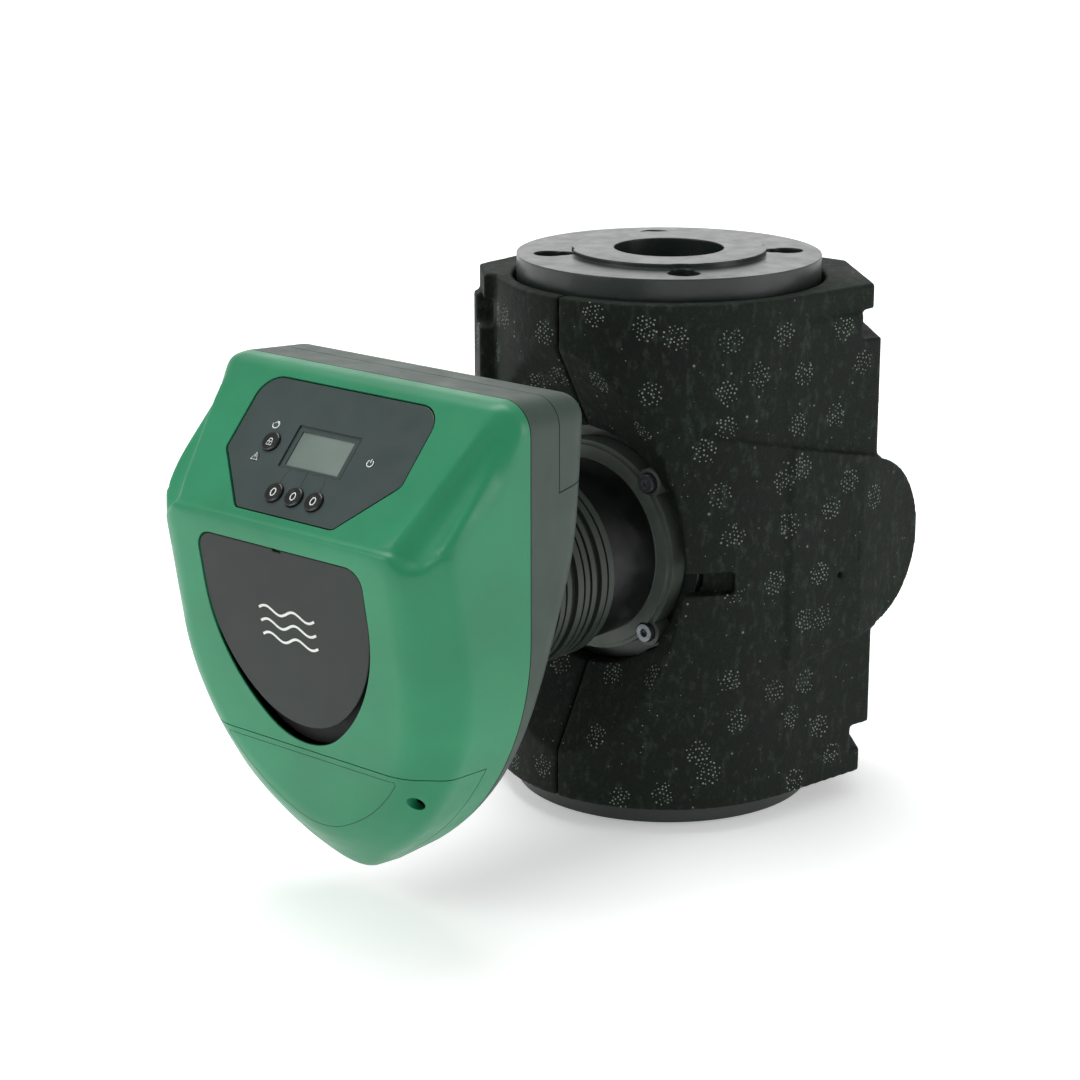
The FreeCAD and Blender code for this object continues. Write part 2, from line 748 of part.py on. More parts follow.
def strap_grooves():
    """Grooves across the corner faces, one below each lip."""
    cutters = []
    for z0 in (shell_bottom + lip_height, shell_top - lip_height - groove_height):
        z1 = z0 + groove_height
        for angle, depth, reach in ((-45.0, 110.5, 60), (45.0, 110.5, 60), (135.0, 106.0, 26)):
            block = box((-60, reach), (depth, 150), (z0, z1))
            block.rotate(V(0, 0, 0), V(0, 0, 1), angle)
            cutters.append(block)
    return cutters


def shell_cavity():
    top_pocket = rod(flange_radius + shell_flange_gap, (0, 0, 300), (0, 0, shell_top + 1))
    bottom_pocket = rod(flange_radius + shell_flange_gap, (0, 0, shell_bottom - 1), (0, 0, 40))
    neck = rod(neck_radius + 20, (0, 0, 30), (0, 0, 310))
    drum = join([on_motor_axis(drum_rim_radius + 1.5, drum_front - 2, drum_shoulder),
                 on_motor_axis(drum_radius + 1.5, drum_shoulder - 1.5, drum_rear + 2)])
    opening = on_motor_axis(shell_opening_radius, -130, drum_front)
    flare = cone(shell_opening_radius, shell_opening_radius + 80, (0, shell_opening_y, motor_z),
                 (0, shell_opening_y - 45, motor_z))
    cutters = [top_pocket, bottom_pocket, neck, drum, opening, flare]
    for angle in diagonals:
        x, z_off = around(motor_ear_circle, angle)
        cutters.append(on_motor_axis(10.8, -130, drum_front, x, z_off))
    slot = plan_prism([(60, -110), (60, -72), (91, -49), (120, -110)], slot_z - 6.5, slot_z + 6.5)
    return join(cutters + [slot])


def insulation_half(side):
    if side > 0:
        keep = box((shell_split_gap, 200), (-200, 200), (0, port_length))
    else:
        keep = box((-200, -shell_split_gap), (-200, 200), (0, port_length))
    half = shell_blank().common(keep)
    for cutter in strap_grooves():
        half = half.cut(cutter)
    half = half.cut(shell_cavity())
    mark = box(sorted((side * (ear_side - 2), side * (ear_side + 2))), (35.5, 37.5), (157, 173))
    dot = rod(2.0, (side * (ear_side - 8), 23, 150), (side * (ear_side + 3), 23, 150))
    return half.cut(mark).cut(dot)


# --- Write every node ------------------------------------------------------------------------

front = front_shell()
rear = rear_shell()
nodes["pump_body"] = pump_body()
nodes["wear_ring"] = wear_ring()
nodes["impeller"] = impeller()
nodes["impeller_nut"] = impeller_nut()
nodes["rotor_shaft"] = rotor_shaft()
nodes["rotor_magnet"] = rotor_magnet()
nodes["thrust_ring"] = thrust_ring()
nodes["bearing_plate"] = bearing_plate()
nodes["body_o_ring"] = body_o_ring()
nodes["front_bearing"] = shaft_bearing(-71.5, -50.5)
nodes["rear_bearing"] = shaft_bearing(-158, -147)
nodes["rear_bearing_carrier"] = rear_bearing_carrier()
nodes["rotor_can"] = rotor_can()
nodes["stator_core"] = stator_core()
nodes["stator_coils"] = stator_coils()
nodes["motor_casing"] = motor_casing()
nodes["motor_screws"] = motor_screws()
nodes["rear_housing"], nodes["terminal_box"] = rear_housing_and_terminal_box(rear)
nodes["rear_cap"] = rear_cap(rear)
nodes["cable_glands"] = cable_glands()
nodes["housing_screws"] = housing_screws()
nodes["heat_sink"] = heat_sink()
nodes["power_module"] = power_module()
nodes["main_board"] = main_board()
nodes["capacitors"] = capacitors()
nodes["choke"] = choke()
nodes["terminal_block"] = terminal_block()
nodes["cover_seal"] = cover_seal()
nodes["front_cover"] = front_cover(front)
nodes["terminal_cover"] = terminal_cover(front)
nodes["terminal_cover_screws"] = terminal_cover_screws()
nodes["display_panel"] = display_panel()
nodes["lcd_window"] = lcd_window()
nodes["lcd_module"] = lcd_module()
nodes["display_board"] = display_board()
nodes["button_switches"] = button_switches()
nodes["status_lamps"] = status_lamps()
for name, (x, y) in button_spots.items():
    nodes[name] = button(x, y)
nodes["trim_plate"] = trim_plate()
nodes["insulation_left"] = insulation_half(-1)
nodes["insulation_right"] = insulation_half(1)

os.makedirs("parts", exist_ok=True)
for name, shape in nodes.items():
    shape.exportStep("parts/" + name + ".step")
    solids = shape.Solids
    print(name, "solids", len(solids), "valid", shape.isValid(), "volume_cm3",
          round(sum(s.Volume for s in solids) / 1000.0, 2))
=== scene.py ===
import json
import math
import random
import bpy
import bmesh
import numpy as np
from mathutils import Matrix, Vector
from mathutils.bvhtree import BVHTree


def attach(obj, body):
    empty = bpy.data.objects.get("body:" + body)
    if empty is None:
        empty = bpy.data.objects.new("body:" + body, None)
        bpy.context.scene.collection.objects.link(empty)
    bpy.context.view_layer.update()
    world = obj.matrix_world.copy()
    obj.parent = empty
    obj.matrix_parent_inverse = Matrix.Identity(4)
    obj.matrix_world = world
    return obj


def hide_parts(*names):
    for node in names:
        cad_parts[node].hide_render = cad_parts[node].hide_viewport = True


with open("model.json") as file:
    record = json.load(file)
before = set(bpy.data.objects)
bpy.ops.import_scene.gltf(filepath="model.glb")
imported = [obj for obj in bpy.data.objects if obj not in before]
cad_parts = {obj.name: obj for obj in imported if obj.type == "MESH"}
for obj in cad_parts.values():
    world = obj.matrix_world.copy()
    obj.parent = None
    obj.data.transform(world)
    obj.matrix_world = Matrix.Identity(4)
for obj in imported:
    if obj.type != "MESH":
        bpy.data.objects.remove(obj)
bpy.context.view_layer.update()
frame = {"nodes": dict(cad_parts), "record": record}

MM = 0.001
MOTOR_Z = 169.0                  # height of the motor axis
nodes = frame["nodes"]
rng = random.Random(7)


# --- Colours and materials -------------------------------------------------------------------

def linear(hex_code):
    """An sRGB hex colour as linear RGBA."""
    values = [int(hex_code[i:i + 2], 16) / 255 for i in (0, 2, 4)]
    return [v / 12.92 if v <= 0.04045 else ((v + 0.055) / 1.055) ** 2.4 for v in values] + [1.0]


class Paint:
    """A principled material whose colour, roughness and bump come from procedural nodes."""

    def __init__(self, name):
        self.material = bpy.data.materials.new(name)
        self.material.use_nodes = True
        self.tree = self.material.node_tree
        self.shader = self.tree.nodes["Principled BSDF"]
        self.normal = None
        self.point = self.tree.nodes.new("ShaderNodeTexCoord").outputs["Object"]

    def add(self, kind, **inputs):
        node = self.tree.nodes.new("ShaderNode" + kind)
        for key, value in inputs.items():
            name = key.replace("_", " ")
            if name in node.inputs.keys():
                self.feed(node.inputs[name], value)
            else:
                setattr(node, key, value)
        return node

    def feed(self, socket, value):
        if isinstance(value, bpy.types.NodeSocket):
            self.tree.links.new(value, socket)
        else:
            socket.default_value = value

    def noise(self, scale, detail=3.0, rough=0.55, stretch=None, distortion=0.0):
        node = self.add("TexNoise", Scale=scale, Detail=detail, Roughness=rough,
                        Distortion=distortion)
        self.feed(node.inputs["Vector"], self.stretched(stretch))
        return node.outputs["Fac"]

    def cells(self, scale, feature):
        node = self.add("TexVoronoi", Scale=scale, Randomness=1.0)
        node.feature = feature
        self.feed(node.inputs["Vector"], self.point)
        return node.outputs["Distance"]

    def stretched(self, stretch):
        if stretch is None:
            return self.point
        node = self.add("Mapping")
        self.feed(node.inputs["Vector"], self.point)
        self.feed(node.inputs["Scale"], stretch)
        return node.outputs["Vector"]

    def remap(self, value, low, high, to_low=0.0, to_high=1.0):
        node = self.add("MapRange")
        node.clamp = True
        self.feed(node.inputs["Value"], value)
        for name, number in (("From Min", low), ("From Max", high), ("To Min", to_low),
                             ("To Max", to_high)):
            node.inputs[name].default_value = number
        return node.outputs["Result"]

    def math(self, operation, a, b):
        node = self.add("Math")
        node.operation = operation
        self.feed(node.inputs[0], a)
        self.feed(node.inputs[1], b)
        return node.outputs[0]

    def mix(self, factor, a, b):
        node = self.add("Mix")
        node.data_type = "RGBA"
        self.feed(node.inputs[0], factor)
        self.feed(node.inputs[6], a)
        self.feed(node.inputs[7], b)
        return node.outputs[2]

    def colour(self, value):
        self.feed(self.shader.inputs["Base Color"], value)
        return self

    def set(self, **values):
        for key, value in values.items():
            self.feed(self.shader.inputs[key.replace("_", " ")], value)
        return self

    def bump(self, height, distance, strength=1.0):
        node = self.add("Bump", Strength=strength, Distance=distance)
        self.feed(node.inputs["Height"], height)
        if self.normal is not None:
            self.feed(node.inputs["Normal"], self.normal)
        self.normal = node.outputs["Normal"]
        self.feed(self.shader.inputs["Normal"], self.normal)
        return self

    def soft_edges(self, radius):
        """Rounds the shading over sharp edges by a small radius."""
        node = self.add("Bevel", Radius=radius)
        self.normal = node.outputs["Normal"]
        self.feed(self.shader.inputs["Normal"], self.normal)
        return self


def moulded(name, base, dark, rough, grain=900.0, depth=0.00006, edge=0.0006):
    """Moulded plastic: faint colour drift, a fine spark-eroded grain and uneven gloss."""
    paint = Paint(name)
    paint.soft_edges(edge)
    drift = paint.remap(paint.noise(14.0, 2.0), 0.35, 0.65)
    fine = paint.remap(paint.noise(grain, 2.0), 0.3, 0.7)
    tone = paint.mix(drift, linear(dark), linear(base))
    paint.colour(paint.mix(paint.math("MULTIPLY", fine, 0.18), tone, linear(dark)))
    paint.set(Roughness=paint.remap(paint.noise(60.0, 3.0), 0.3, 0.7, rough - 0.05, rough + 0.06))
    paint.bump(paint.noise(grain, 2.0), depth, 0.6)
    return paint


green = moulded("green_moulding", "1f8058", "1b754f", 0.38)
green.set(Specular_IOR_Level=0.4)
grey = moulded("grey_moulding", "3a4941", "334039", 0.5)
grey.set(Specular_IOR_Level=0.3)
panel_skin = moulded("panel_membrane", "2c3b39", "273533", 0.36, grain=1500.0, depth=0.00003)
plate_skin = moulded("plate_satin", "18211c", "141b17", 0.36, grain=1300.0, depth=0.00003)
plate_skin.set(Specular_IOR_Level=0.3)
black_plastic = moulded("black_moulding", "17191a", "101212", 0.4)
button_skin = moulded("button_gloss", "0d0f0f", "080a0a", 0.16, grain=1600.0, depth=0.00001)
# dark green painted shade for the groove of the terminal cover's seam line
groove_shade_dark = moulded("groove_shade_line", "123a2a", "0e3022", 0.6)
panel_line = moulded("panel_line", "1c2829", "182223", 0.5)
mark_white = moulded("printed_white", "dfe4df", "d2d8d2", 0.45)
# near-black painted shade, laid into the seam gap and at the back of the deep pocket where only
# shadow shows
painted_shade_black = moulded("painted_recess_shade", "060707", "040505", 0.7)


def glass_face():
    paint = Paint("display_glass")
    rows = paint.remap(paint.noise(2200.0, 1.0, stretch=(1.0, 0.02, 0.02)), 0.4, 0.6)
    tone = paint.mix(paint.remap(paint.noise(26.0, 1.0), 0.35, 0.65), linear("5c6963"),
                     linear("6b7871"))
    paint.colour(paint.mix(paint.math("MULTIPLY", rows, 0.05), tone, linear("4c5952")))
    paint.set(Roughness=0.12, Coat_Weight=0.6, Coat_Roughness=0.05, Specular_IOR_Level=0.5)
    return paint


def cast_paint():
    """Electrocoat on cast iron: low ripple from the casting and softly rounded edges."""
    paint = Paint("painted_casting")
    paint.soft_edges(0.0014)
    cloud = paint.remap(paint.noise(22.0, 4.0, 0.6), 0.35, 0.68)
    speck = paint.remap(paint.noise(420.0, 3.0), 0.55, 0.7)
    tone = paint.mix(cloud, linear("151e1a"), linear("1d2722"))
    paint.colour(paint.mix(paint.math("MULTIPLY", speck, 0.3), tone, linear("141c18")))
    paint.set(Roughness=paint.remap(paint.noise(90.0, 3.0), 0.3, 0.7, 0.27, 0.36))
    paint.bump(paint.noise(240.0, 4.0), 0.00016, 0.5)
    return paint


def bead_foam(name):
    """Moulded bead foam: packed beads, smeared skin, and a few pale beads."""
    paint = Paint(name)
    edge = paint.cells(270.0, "DISTANCE_TO_EDGE")
    seams = paint.remap(edge, 0.0, 0.10)
    cloud = paint.remap(paint.noise(26.0, 5.0, 0.62, distortion=0.6), 0.36, 0.66)
    smear = paint.remap(paint.noise(210.0, 4.0, 0.6, stretch=(1.0, 1.0, 0.55)), 0.52, 0.72)
    tone = paint.mix(cloud, linear("0b110d"), linear("161f18"))
    tone = paint.mix(paint.math("MULTIPLY", smear, 0.65), tone, linear("2f3b32"))
    tone = paint.mix(paint.math("MULTIPLY", paint.math("SUBTRACT", 1.0, seams), 0.5), tone,
                     linear("0a0d0b"))
    fleck = paint.remap(paint.cells(170.0, "F1"), 0.10, 0.16, 1.0, 0.0)
    chosen = paint.remap(paint.noise(61.0, 1.0), 0.60, 0.66)
    paint.colour(paint.mix(paint.math("MULTIPLY", fleck, chosen), tone, linear("6b736a")))
    paint.set(Roughness=paint.remap(cloud, 0.0, 1.0, 0.62, 0.8))
    paint.set(Specular_IOR_Level=0.16)
    paint.bump(seams, 0.00035, 0.5)
    paint.bump(paint.noise(520.0, 4.0), 0.00025, 0.45)
    return paint


def metal(name, base, rough, brush, edge=0.0005):
    paint = Paint(name)
    paint.soft_edges(edge)
    streak = paint.remap(paint.noise(320.0, 3.0, stretch=brush), 0.3, 0.7)
    tone = paint.mix(streak, linear(base), [c * 0.72 for c in linear(base)[:3]] + [1.0])
    paint.colour(tone)
    paint.set(Metallic=1.0, Roughness=paint.remap(streak, 0.0, 1.0, rough, rough + 0.12))
    paint.bump(paint.noise(700.0, 2.0, stretch=brush), 0.00003, 0.5)
    return paint


glass = glass_face()
casting = cast_paint()
foam = bead_foam("bead_foam")
vent_mark = moulded("vent_mark", "7f897f", "666f66", 0.7)
aluminium = metal("cast_aluminium", "9aa09f", 0.42, (1.0, 1.0, 1.0))
motor_black = moulded("motor_black", "0e100f", "090b0a", 0.3, grain=500.0, depth=0.00012)
motor_black.set(Specular_IOR_Level=0.3)


def motor_finish():
    """Black lacquer on the barrel, lighter bare ribs and a bare mounting ring."""
    paint = Paint("motor_lacquer")
    paint.soft_edges(0.0006)
    split = paint.add("SeparateXYZ")
    paint.feed(split.inputs[0], paint.point)
    along = split.outputs["Y"]
    # the ribs start 121 mm in front of the pipe axis, and the ring ends 78 mm in front of it
    rib = paint.remap(along, -0.1215, -0.1205, 1.0, 0.0)
    ring = paint.remap(along, -0.0785, -0.0780, 0.0, 1.0)
    drift = paint.remap(paint.noise(30.0, 3.0), 0.35, 0.65)
    tone = paint.mix(drift, linear("080b09"), linear("050706"))
    tone = paint.mix(rib, tone, paint.mix(drift, linear("2a312c"), linear("232924")))
    tone = paint.mix(ring, tone, paint.mix(drift, linear("505752"), linear("434a45")))
    paint.colour(tone)
    paint.set(Roughness=paint.remap(paint.noise(80.0, 3.0), 0.3, 0.7, 0.3, 0.42),
              Specular_IOR_Level=0.3)
    paint.bump(paint.noise(500.0, 3.0), 0.0001, 0.5)
    return paint


steel = metal("turned_steel", "a8acae", 0.3, (1.0, 0.05, 1.0))
zinc = metal("zinc_plate", "8d9397", 0.35, (0.1, 1.0, 1.0))
copper = metal("copper_winding", "b06a3c", 0.4, (1.0, 0.05, 1.0))
board = moulded("solder_mask", "1c5a38", "174e30", 0.35)
rubber = moulded("seal_rubber", "141414", "0e0e0e", 0.75)
ceramic = moulded("carbon_ceramic", "2a2b2d", "202124", 0.3)

finish_of = {
    "painted_iron": casting, "stainless": steel, "carbon_ceramic": ceramic, "seal_rubber": rubber,
    "lamination_steel": zinc, "copper_winding": copper, "cast_aluminium": aluminium,
    "zinc_steel": zinc, "grey_plastic": grey, "black_plastic": black_plastic, "board_green": board,
    "connector_green": board, "green_plastic": green, "panel_plastic": panel_skin,
    "clear_window": glass, "lcd_body": glass, "lamp_lens": mark_white, "black_gloss": plate_skin,
    "button_plastic": button_skin, "foam_black": foam}
slot_of = {s["node"]: s["material_slot"] for s in frame["record"]["subparts"]}


def dress(obj, paint):
    obj.data.materials.clear()
    obj.data.materials.append(paint.material)


for name, obj in nodes.items():
    dress(obj, finish_of[slot_of[name]])
dress(nodes["motor_casing"], motor_finish())
dress(nodes["status_lamps"], panel_skin)
dress(nodes["terminal_cover_screws"], motor_black)


# --- Mesh helpers ----------------------------------------------------------------------------

def new_object(name, mesh, paint, body="casing"):
    obj = bpy.data.objects.new(name, mesh)
    bpy.context.scene.collection.objects.link(obj)
    dress(obj, paint)
    if body:
        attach(obj, body)
    return obj


def mesh_from(name, points, faces, smooth=True):
    mesh = bpy.data.meshes.new(name)
    mesh.from_pydata([tuple(p) for p in points], [], [tuple(f) for f in faces])
    mesh.update()
    if smooth:
        mesh.shade_smooth()
    return mesh


def finished(name, bm, smooth=False):
    """The mesh of a bmesh, which is freed."""
    mesh = bpy.data.meshes.new(name)
    bm.to_mesh(mesh)
    bm.free()
    if smooth:
        mesh.shade_smooth()
    return mesh


def applied(obj):
    """Bakes an object's modifiers into its mesh."""
    graph = bpy.context.evaluated_depsgraph_get()
    mesh = bpy.data.meshes.new_from_object(obj.evaluated_get(graph))
    obj.modifiers.clear()
    old = obj.data
    obj.data = mesh
    bpy.data.meshes.remove(old)
    return obj


def prism(name, outline, low, high, place):
    """A closed prism over an (x, y) outline in millimetres, placed by a matrix in metres."""
    count = len(outline)
    area = sum(x * outline[i - 1][1] - y * outline[i - 1][0] for i, (x, y) in enumerate(outline))
    if area > 0:
        outline = outline[::-1]
    points = [place @ Vector((x * MM, y * MM, z * MM)) for z in (low, high) for x, y in outline]
    faces = [list(range(count))[::-1], list(range(count, 2 * count))]
    faces += [[i, (i + 1) % count, count + (i + 1) % count, count + i] for i in range(count)]
    return mesh_from(name, points, faces, smooth=False)


def cut(obj, meshes, operation="DIFFERENCE"):
    """Takes closed meshes away from an object, or keeps what it shares with them."""
    for mesh in meshes:
        tool = bpy.data.objects.new("tool", mesh)
        bpy.context.scene.collection.objects.link(tool)
        modifier = obj.modifiers.new("cut", "BOOLEAN")
        modifier.operation = operation
        modifier.solver = "EXACT"
        modifier.object = tool
        bpy.context.view_layer.update()
        applied(obj)
        bpy.data.objects.remove(tool)
        bpy.data.meshes.remove(mesh)


def sharpen(mesh, angle):
    """Smooth shading that stays crisp over edges steeper than an angle in degrees."""
    mesh.shade_smooth()
    mesh.set_sharp_from_angle(angle=math.radians(angle))


def frame_at(y, z, degrees):
    """A face's own frame: x across, y up the face, z out of it."""
    return Matrix.Translation((0, y * MM, z * MM)) @ Matrix.Rotation(math.radians(degrees), 4, "X")


SLOPE_Y, SLOPE_Z, SLOPE_TILT = -291.0, 278.8, 47.4
FRONT_Y, FRONT_Z, FRONT_TILT = -336.0, 234.0, 99.65
slope = frame_at(SLOPE_Y, SLOPE_Z, SLOPE_TILT)
front = frame_at(FRONT_Y, FRONT_Z, FRONT_TILT)


def rounded_outline(corners, radii, steps=8):
    """A closed outline with each corner rounded by its own radius."""
    outline = []
    count = len(corners)
    for i, radius in enumerate(radii):
        here = Vector(corners[i])
        before = (Vector(corners[i - 1]) - here).normalized()
        after = (Vector(corners[(i + 1) % count]) - here).normalized()
        half = before.angle(after) / 2
        centre = here + (before + after).normalized() * (radius / math.sin(half))
        start = here + before * (radius / math.tan(half)) - centre
        sweep = math.pi - 2 * half
        turn = -1 if before.x * after.y - before.y * after.x > 0 else 1
        for k in range(steps + 1):
            a = turn * sweep * k / steps
            outline.append((centre.x + start.x * math.cos(a) - start.y * math.sin(a),
                            centre.y + start.x * math.sin(a) + start.y * math.cos(a)))
    return outline


# --- The head's smooth outer skin ------------------------------------------------------------

def smooth_max(a, b, k):
    """The larger of two distances, blended over k, which rounds the edge between two faces."""
    h = np.maximum(k - np.abs(a - b), 0.0) / k
    return np.maximum(a, b) + h * h * k * 0.25


def smooth_min(a, b, k):
    return -smooth_max(-a, -b, k)


# the head's outline: half width, top, top corners, then arcs below BEND into a round tip
HALF, TOP, CORNER, BEND, BEND_R, TURN, TIP = 112.0, 304.5, 17.5, 177.0, 160.0, 57.0, 27.5
SEAM_Y = -257.0                  # where green meets grey
SEAM_Z = 104.0                   # top of the terminal cover and the terminal box
SEAM_GAP = 0.6
HEAD_CENTRE_Z = 165.0

# the lower front face's outline in its own frame: arcs below FACE_BEND into a round tip
FACE_HALF, FACE_CORNER, FACE_BEND, FACE_R, FACE_TIP = 86.2, 15.0, -74.0, 112.0, 48.0
FACE_TURN = math.acos((FACE_R - FACE_HALF) / (FACE_R - FACE_TIP))
FACE_TIP_V = FACE_BEND - (FACE_R - FACE_TIP) * math.sin(FACE_TURN)


def head_distance(x, z):
    """How far outside the head's outline a point is, seen from the front."""
    x = np.abs(x)
    turn = math.radians(TURN)
    qx, qz = x - (HALF - CORNER), z - (TOP - CORNER)
    upper = np.where((qx > 0) & (qz > 0), np.hypot(qx, qz) - CORNER, np.maximum(x - HALF, z - TOP))
    hub = BEND_R - HALF
    across, down = x + hub, BEND - z
    arc = np.hypot(across, down) - BEND_R
    line = across * math.cos(turn) + down * math.sin(turn) - BEND_R
    tip_z = BEND - (BEND_R - TIP - hub * math.cos(turn)) / math.sin(turn)
    tip = np.hypot(x, tip_z - z) - TIP
    angle = np.arctan2(down, across)
    tip_angle = np.arctan2(tip_z - z, x)
    lower = np.where(angle < 0, x - HALF, np.where(angle < turn, arc,
                                                   np.where(tip_angle > turn, tip, line)))
    return np.where(z > BEND, upper, lower)


def front_face_distance(x, v):
    """How far outside the lower front face's outline a point is, in that face's own frame."""
    x = np.abs(x)
    hub = FACE_HALF - FACE_R
    qx, qv = x - (FACE_HALF - FACE_CORNER), v + FACE_CORNER
    above = np.where((qx > 0) & (qv > 0), np.hypot(qx, qv) - FACE_CORNER,
                     np.maximum(x - FACE_HALF, v))
    below = np.hypot(x - hub, v - FACE_BEND) - FACE_R
    tip = np.hypot(x, v - FACE_TIP_V) - FACE_TIP
    angle = np.arctan2(FACE_BEND - v, x - hub)
    return np.where(v > FACE_BEND, above, np.where(angle > FACE_TURN, tip, below))


def plane(p, point, normal):
    n = np.array(normal, float)
    n /= np.linalg.norm(n)
    return (p - np.array(point, float)) @ n


# how far the walls spread per millimetre of depth, from the front face's tip up
LEAN_V, LEAN = [-165, -115], [1.5, 1.06]
# how far the head's walls lean in over the depth of each half
FRONT_LEAN, FRONT_DEPTH, REAR_LEAN, REAR_DEPTH = 7.0, 93.0, 4.5, 61.0


def tapered_rod(p, start, start_r, end, end_r):
    """Distance to a rod with round ends whose radius changes along its length."""
    start, end = np.array(start, float), np.array(end, float)
    along = end - start
    t = np.clip((p - start) @ along / (along @ along), 0.0, 1.0)
    radius = start_r + (end_r - start_r) * t
    return np.linalg.norm(p - start - t[:, None] * along, axis=1) - radius


# on the right half, mirrored by |x|: a point in each plane and its outward direction
BEVEL = (106.5, -287, 267), (0.843, -0.365, 0.397)
FRONT_CORNER = (107.5, -314, 240.7), (0.484, -0.852, 0.198)
BEVEL_FADE_Y = -280.0
# the hollow's two ends, each with its radius
HOLLOW = (96.9, -332.5, 240.8), 15.5, (106.6, -279.5, 289.3), 7.5


def front_field(p):
    """Negative inside the head's front half, in millimetres."""
    x, y, z = p[:, 0], p[:, 1], p[:, 2]
    pa = np.column_stack([np.abs(x), y, z])
    side = head_distance(x, z) + FRONT_LEAN * (SEAM_Y - y) / FRONT_DEPTH
    rise, tilt = z - FRONT_Z, math.radians(FRONT_TILT)
    v = (y - FRONT_Y) * math.cos(tilt) + rise * math.sin(tilt)
    w = -(y - FRONT_Y) * math.sin(tilt) + rise * math.cos(tilt)
    lean = np.interp(v, LEAN_V, LEAN)
    cone = (front_face_distance(x, v) + lean * w) / np.hypot(1.0, lean)
    lower = smooth_max(smooth_max(cone, w, 6.0), rise, 2.0)
    face = plane(pa, (0, SLOPE_Y, SLOPE_Z), (0, -0.736, 0.677))
    # the bevel beside the sloping face dies out before it reaches the seam
    fade = np.maximum(0.0, y - BEVEL_FADE_Y)
    bevel = plane(pa, *BEVEL) - 0.022 * fade * fade
    corner = plane(pa, *FRONT_CORNER)
    upper = smooth_max(face, smooth_max(bevel, corner, 10.0), 6.0)
    upper = np.maximum(upper, w + 3.0)
    upper = np.maximum(upper, cone + 1.5 - 3.0 * np.maximum(0.0, rise - 2.0))
    upper = np.maximum(upper, -25.0 - rise)
    body = smooth_min(lower, upper, 2.0)
    # a soft hollow along the bevel leaves a thin crest at the head's side
    hollow = tapered_rod(pa, *HOLLOW)
    body = smooth_max(body, -hollow, 3.5)
    return smooth_max(side, body, 4.0)


# the rear wall's depth at each height
REAR_Z = [-40, 60, 130, 155, 180, 200, 222, 262, 300, 360]
REAR_Y = [-246, -244, -239.5, -235, -226, -216, -209.5, -205.5, -203, -201]


def rear_field(p):
    """Negative inside the head's rear half, in millimetres."""
    x, y, z = p[:, 0], p[:, 1], p[:, 2]
    side = head_distance(x, z) + REAR_LEAN * (y - SEAM_Y) / REAR_DEPTH
    curve = np.mean([np.interp(z + shift, REAR_Z, REAR_Y) for shift in range(-16, 17, 4)], axis=0)
    back = (y - curve) * 0.95
    return smooth_max(side, back, 14.0)


def star_grid(field, centre, depth, columns, wall_rows, face_rows, thickness):
    """A closed shell found by casting rays from a centre in the seam plane to a field's surface.

    Rows run from the seam up the wall and over the face to a pole; the inner skin follows the
    same rays a wall's thickness further in.
    """
    angles = np.linspace(0, 2 * math.pi, columns, endpoint=False)
    flat = np.column_stack([np.cos(angles), np.zeros(columns), np.sin(angles)])
    low, high = np.zeros(columns), np.full(columns, 400.0)
    for _ in range(40):
        middle = (low + high) / 2
        inside = head_distance(centre[0] + flat[:, 0] * middle,
                               centre[2] + flat[:, 2] * middle) < 0
        low, high = np.where(inside, middle, low), np.where(inside, high, middle)
    reach = low[:, None] * flat
    path = [(1.0, t) for t in np.linspace(0, 1, wall_rows, endpoint=False)]
    path += [(t, 1.0) for t in np.linspace(1, 0, face_rows, endpoint=False)]
    rays = np.concatenate([reach * s + np.array([0, depth * t, 0]) for s, t in path]
                          + [np.array([[0, depth, 0]])])
    near, far = np.zeros(len(rays)), np.full(len(rays), 3.0)
    for _ in range(34):
        middle = (near + far) / 2
        inside = field(centre + rays * middle[:, None]) < 0
        near, far = np.where(inside, middle, near), np.where(inside, far, middle)
    outer = centre + rays * near[:, None]
    length = np.linalg.norm(rays * near[:, None], axis=1)
    inner = centre + rays * (near * (1 - thickness / length))[:, None]
    rows = len(path)
    total = len(outer)
    faces = []
    for r in range(rows):
        for c in range(columns):
            a, b = r * columns + c, r * columns + (c + 1) % columns
            if r + 1 < rows:
                quad = (a, b, b + columns, a + columns)
            else:
                quad = (a, b, total - 1)
            faces.append(quad)
            faces.append(tuple(total + i for i in reversed(quad)))
    for c in range(columns):
        a, b = c, (c + 1) % columns
        faces.append((b, a, total + a, total + b))
    if depth > 0:
        faces = [tuple(reversed(f)) for f in faces]
    return np.concatenate([outer, inner]) * MM, faces


head_centre = np.array([0.0, SEAM_Y, HEAD_CENTRE_Z])
forward, backward = np.array([0.0, -SEAM_GAP / 2, 0.0]), np.array([0.0, SEAM_GAP / 2, 0.0])
points, faces = star_grid(front_field, head_centre + forward, -62.0, 480, 40, 110, 6.5)
front_mesh = mesh_from("front_skin", points, faces)

# the display's opening, the plate's pocket and the deep crescent under the plate
panel_corners = [(-65.5, 25.4), (-65.5, -22.0), (-36.0, -54.5), (36.0, -54.5), (65.5, -22.0),
                 (65.5, 25.4)]
panel_rounds = [14.0, 6.0, 5.0, 5.0, 6.0, 14.0]


def grown_panel(grow):
    corners = [(x + math.copysign(grow, x), y + (grow if y > 0 else -grow))
               for x, y in panel_corners]
    return rounded_outline(corners, [r + grow for r in panel_rounds])


